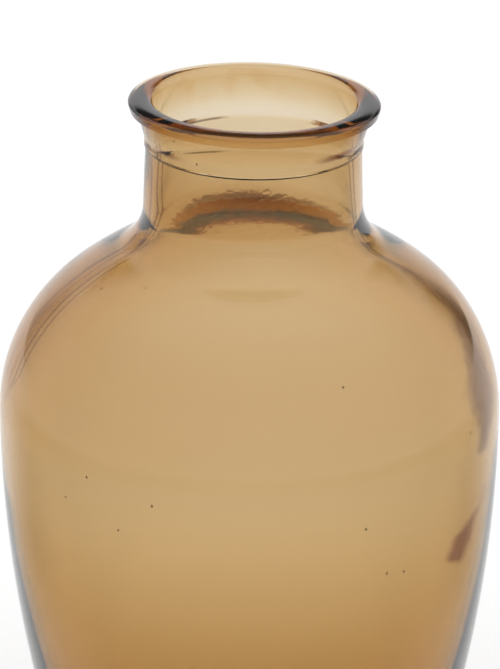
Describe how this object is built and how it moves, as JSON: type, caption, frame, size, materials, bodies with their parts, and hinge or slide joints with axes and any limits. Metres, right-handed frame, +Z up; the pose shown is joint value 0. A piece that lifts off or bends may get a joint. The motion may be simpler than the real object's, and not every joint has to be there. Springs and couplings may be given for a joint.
{
  "type": "bud vase",
  "caption": "Round-shouldered bottle vase in clear amber glass, with a thick flared lip, a short neck and a body that draws in to its foot. It stands free and holds cut stems in water.",
  "frame": {"origin": "on the axis, at the level of the ring that the vase stands on", "axes": "+Z up along the vase's axis to the mouth; X and Y are level and alike, because the shape is turned"},
  "size_m": [0.08, 0.08, 0.125],
  "materials": {
    "amber_glass": "clear light amber-brown moulded glass, fire-polished, with fine seeds and faint waves"
  },
  "bodies": {
    "root": {"lip": "amber_glass", "collar": "amber_glass", "neck": "amber_glass", "shoulder": "amber_glass", "upper_body": "amber_glass", "lower_body": "amber_glass", "heel": "amber_glass", "base": "amber_glass"}
  },
  "joints": []
}
